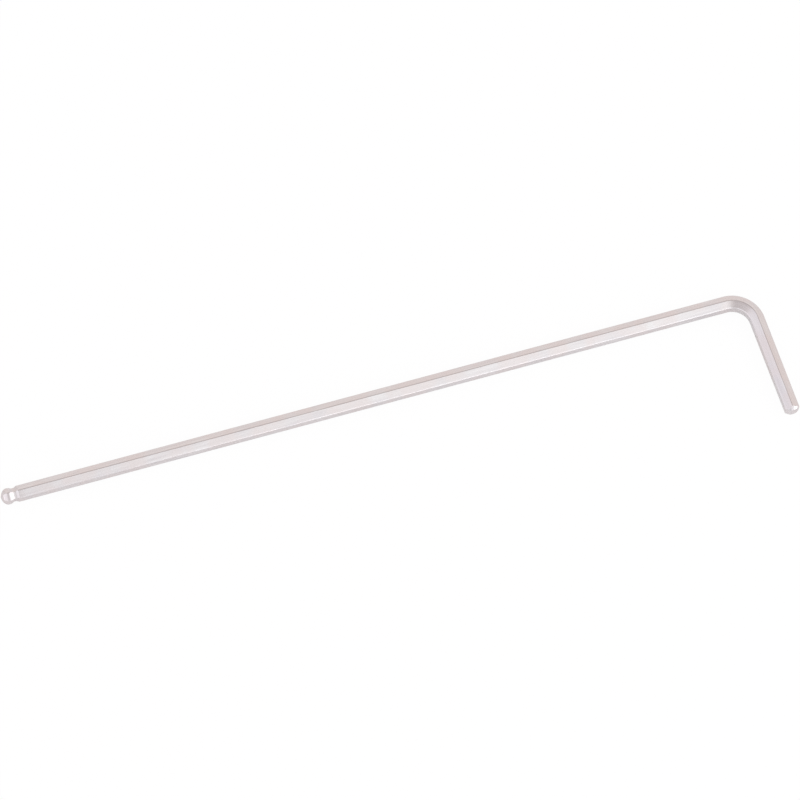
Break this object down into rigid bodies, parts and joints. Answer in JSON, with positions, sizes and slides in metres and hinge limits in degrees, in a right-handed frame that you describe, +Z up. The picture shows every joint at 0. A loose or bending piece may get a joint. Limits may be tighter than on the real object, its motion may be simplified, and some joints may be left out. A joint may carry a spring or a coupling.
{
  "type": "hex key",
  "caption": "L-shaped hex key bent from one hexagonal steel bar: the long arm ends in a hexagonal ball, the short arm in a turned chamfer; satin plated finish.",
  "frame": {"origin": "bottom centre of the box round the key as it lies flat, with the bend plane horizontal", "axes": "+X along the long arm from the ball to the bend, -Y along the short arm from the bend to its end, +Z up, square to the bend plane"},
  "size_m": [0.1096, 0.0194, 0.0022],
  "materials": {
    "satin_plate": "satin, pale plated steel with a fine grain along the bar"
  },
  "bodies": {
    "root": {"hex_key": "satin_plate"}
  },
  "joints": []
}
